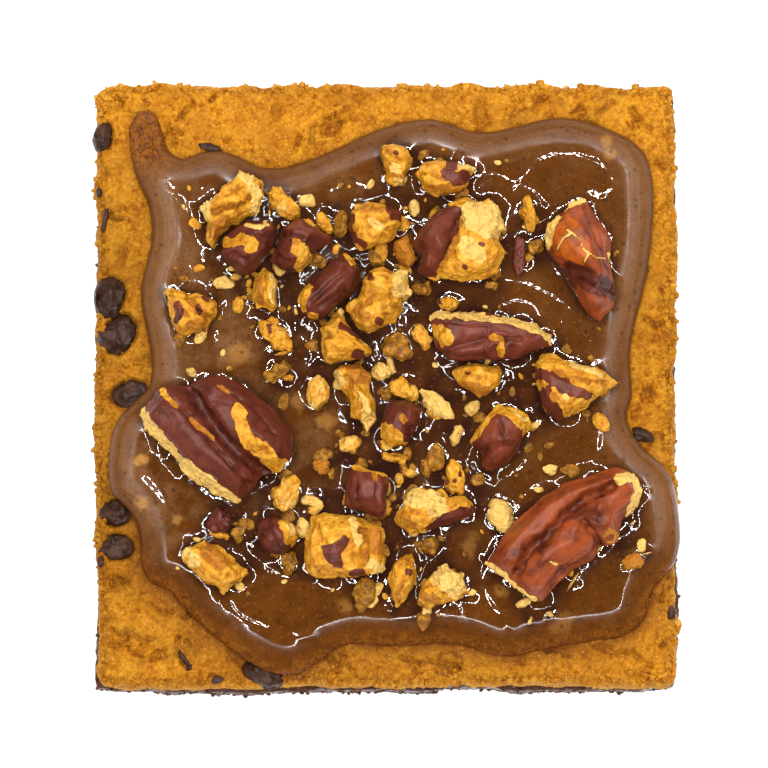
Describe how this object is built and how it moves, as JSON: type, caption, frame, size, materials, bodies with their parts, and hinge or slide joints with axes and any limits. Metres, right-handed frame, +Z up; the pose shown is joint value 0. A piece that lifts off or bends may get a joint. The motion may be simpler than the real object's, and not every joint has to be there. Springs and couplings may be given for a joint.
{
  "type": "pecan praline brookie",
  "caption": "Square brookie bar: a dark brownie layer under a golden cookie layer, topped with poured praline glaze, broken pecans and chocolate chips.",
  "frame": {"origin": "middle of the square's flat underside, on the surface it rests on", "axes": "+Z up through the layers, +Y towards the back edge, along the slightly longer side, +X towards the right edge"},
  "size_m": [0.077, 0.0805, 0.0356],
  "materials": {
    "brownie": "moist dark brown crumb, torn at the cut sides",
    "cookie": "golden baked crumb with a fine sugary grain",
    "praline_glaze": "glossy poured brown praline with fine dark specks and small bubbles",
    "pecan": "glazed pecan, dark red-brown skin with golden broken flesh",
    "chocolate": "dark chocolate with a dull bloom"
  },
  "bodies": {
    "root": {"brownie_layer": "brownie", "cookie_layer": "cookie", "praline_glaze": "praline_glaze", "pecan_half_left": "pecan", "pecan_half_right": "pecan", "pecan_quarter_back_right": "pecan", "pecan_slice_middle": "pecan", "pecan_split_back": "pecan", "pecan_leaning": "pecan", "pecan_crumbled_back_left": "pecan", "pecan_dark_back_left": "pecan", "pecan_dark_back": "pecan", "pecan_round_back": "pecan", "pecan_pale_back": "pecan", "pecan_pointed_back": "pecan", "pecan_wedge_left": "pecan", "pecan_chip_left": "pecan", "pecan_gold_middle": "pecan", "pecan_gold_left": "pecan", "pecan_tailed": "pecan", "pecan_rounded_middle": "pecan", "pecan_wedge_right": "pecan", "pecan_dark_middle": "pecan", "pecan_faceted_right": "pecan", "pecan_column": "pecan", "pecan_flowered": "pecan", "pecan_block_front": "pecan", "pecan_dark_front": "pecan", "pecan_crumbled_front": "pecan", "pecan_diamond_front": "pecan", "pecan_lobed_front": "pecan", "chip_left_upper": "chocolate", "chip_left_lower": "chocolate", "chip_left_middle": "chocolate", "chip_left_front_a": "chocolate", "chip_left_front_b": "chocolate", "chip_back_left": "chocolate", "chip_front": "chocolate"}
  },
  "joints": []
}
